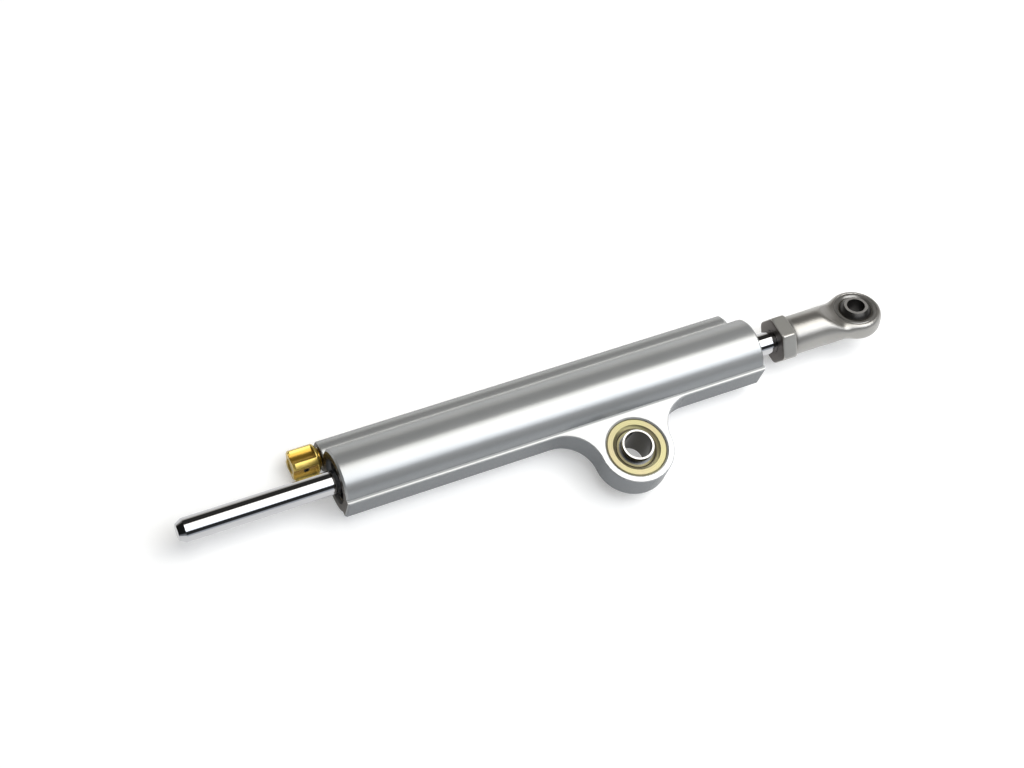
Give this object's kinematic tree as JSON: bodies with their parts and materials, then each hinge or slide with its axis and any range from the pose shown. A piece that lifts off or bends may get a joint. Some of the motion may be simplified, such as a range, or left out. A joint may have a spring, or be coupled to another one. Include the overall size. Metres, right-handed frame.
{
  "type": "motorcycle steering damper",
  "caption": "Through-rod oil damper: a plain tube with a bearing lug, a polished rod with a rod end, and a fluted click knob on its needle valve; it slows a motorcycle's steering.",
  "frame": {"origin": "the middle of the lug bearing's bore", "axes": "+X along the rod towards the rod end, +Y from the lug's bore towards the rod, +Z along the bore"},
  "size_m": [0.324, 0.0664, 0.0285],
  "materials": {
    "body_alloy": "satin anodised",
    "race_gold": "satin gold",
    "ball_steel": "polished",
    "liner_cloth": "woven and bonded",
    "gland_alloy": "dark anodised",
    "seal_rubber": "matte",
    "spring_steel": "oiled",
    "bush_bronze": "machined",
    "rod_chrome": "hard chrome, polished",
    "piston_alloy": "hard anodised",
    "band_plastic": "matte",
    "valve_steel": "ground",
    "seat_brass": "machined",
    "knob_gold": "gold anodised, satin",
    "screw_black": "blackened",
    "nut_steel": "zinc plated",
    "rod_end_steel": "satin plated"
  },
  "bodies": {
    "damper": {"damper_body": "body_alloy", "lug_race": "race_gold", "tip_gland": "gland_alloy", "end_gland": "gland_alloy", "gland_o_rings": "seal_rubber", "gland_circlips": "spring_steel", "rod_bushes": "bush_bronze", "rod_seals": "seal_rubber", "rod_wipers": "seal_rubber", "bump_stops": "seal_rubber", "barrel_plug": "gland_alloy", "plug_o_ring": "seal_rubber", "adjuster_cartridge": "piston_alloy", "cartridge_o_ring": "seal_rubber", "valve_seat": "seat_brass", "compensator_spring": "spring_steel", "detent_spring": "spring_steel"},
    "lug_liner": {"lug_liner": "liner_cloth"},
    "lug_ball": {"lug_ball": "ball_steel"},
    "band": {"piston_band": "band_plastic"},
    "rod": {"piston_rod": "rod_chrome", "piston": "piston_alloy", "piston_clips": "spring_steel", "piston_o_ring": "seal_rubber", "jam_nut": "nut_steel", "rod_end_body": "rod_end_steel", "rod_end_race": "nut_steel"},
    "eye_liner": {"rod_end_liner": "liner_cloth"},
    "eye_ball": {"rod_end_ball": "ball_steel"},
    "knob": {"adjuster_knob": "knob_gold", "knob_set_screw": "screw_black", "adjuster_stem": "valve_steel", "stem_o_ring": "seal_rubber"},
    "needle": {"metering_needle": "valve_steel"},
    "detent": {"detent_ball": "ball_steel"},
    "compensator": {"compensator_piston": "piston_alloy", "compensator_o_ring": "seal_rubber"}
  },
  "joints": [
    {"name": "rod_slide", "type": "slide", "parent": "damper", "child": "band", "axis": [1, 0, 0], "range_m": [-0.01, 0.062]},
    {"name": "rod_spin", "type": "hinge", "parent": "band", "child": "rod", "pos_m": [0, 0.0284, 0], "axis": [1, 0, 0], "continuous": true},
    {"name": "lug_spin", "type": "hinge", "parent": "damper", "child": "lug_liner", "pos_m": [0, 0, 0], "axis": [0, 0, 1], "continuous": true},
    {"name": "lug_tilt", "type": "hinge", "parent": "lug_liner", "child": "lug_ball", "pos_m": [0, 0, 0], "axis": [1, 0, 0], "range_deg": [-12, 12]},
    {"name": "eye_spin", "type": "hinge", "parent": "rod", "child": "eye_liner", "pos_m": [0.1235, 0.0284, 0], "axis": [0, 0.319, 0.9478], "continuous": true},
    {"name": "eye_tilt", "type": "hinge", "parent": "eye_liner", "child": "eye_ball", "pos_m": [0.1235, 0.0284, 0], "axis": [0, 0.9478, -0.319], "range_deg": [-13, 13]},
    {"name": "knob_turn", "type": "hinge", "parent": "damper", "child": "knob", "pos_m": [0, 0.0438, -0.0085], "axis": [1, 0, 0], "range_deg": [-360, 360]},
    {"name": "needle_travel", "type": "slide", "parent": "damper", "child": "needle", "axis": [1, 0, 0], "range_m": [-0.0008, 0.0008]},
    {"name": "compensator_travel", "type": "slide", "parent": "damper", "child": "compensator", "axis": [1, 0, 0], "range_m": [-0.003, 0.003], "stiffness_N_per_m": 200, "deforming": ["compensator_spring"]},
    {"name": "detent_click", "type": "slide", "parent": "damper", "child": "detent", "axis": [1, 0, 0], "range_m": [0, 0.00035], "stiffness_N_per_m": 300, "springref_m": -0.0005, "deforming": ["detent_spring"]}
  ],
  "couplings": [
    {"joint": "knob_turn", "follows": "needle_travel", "rad_per_m": 7854}
  ]
}
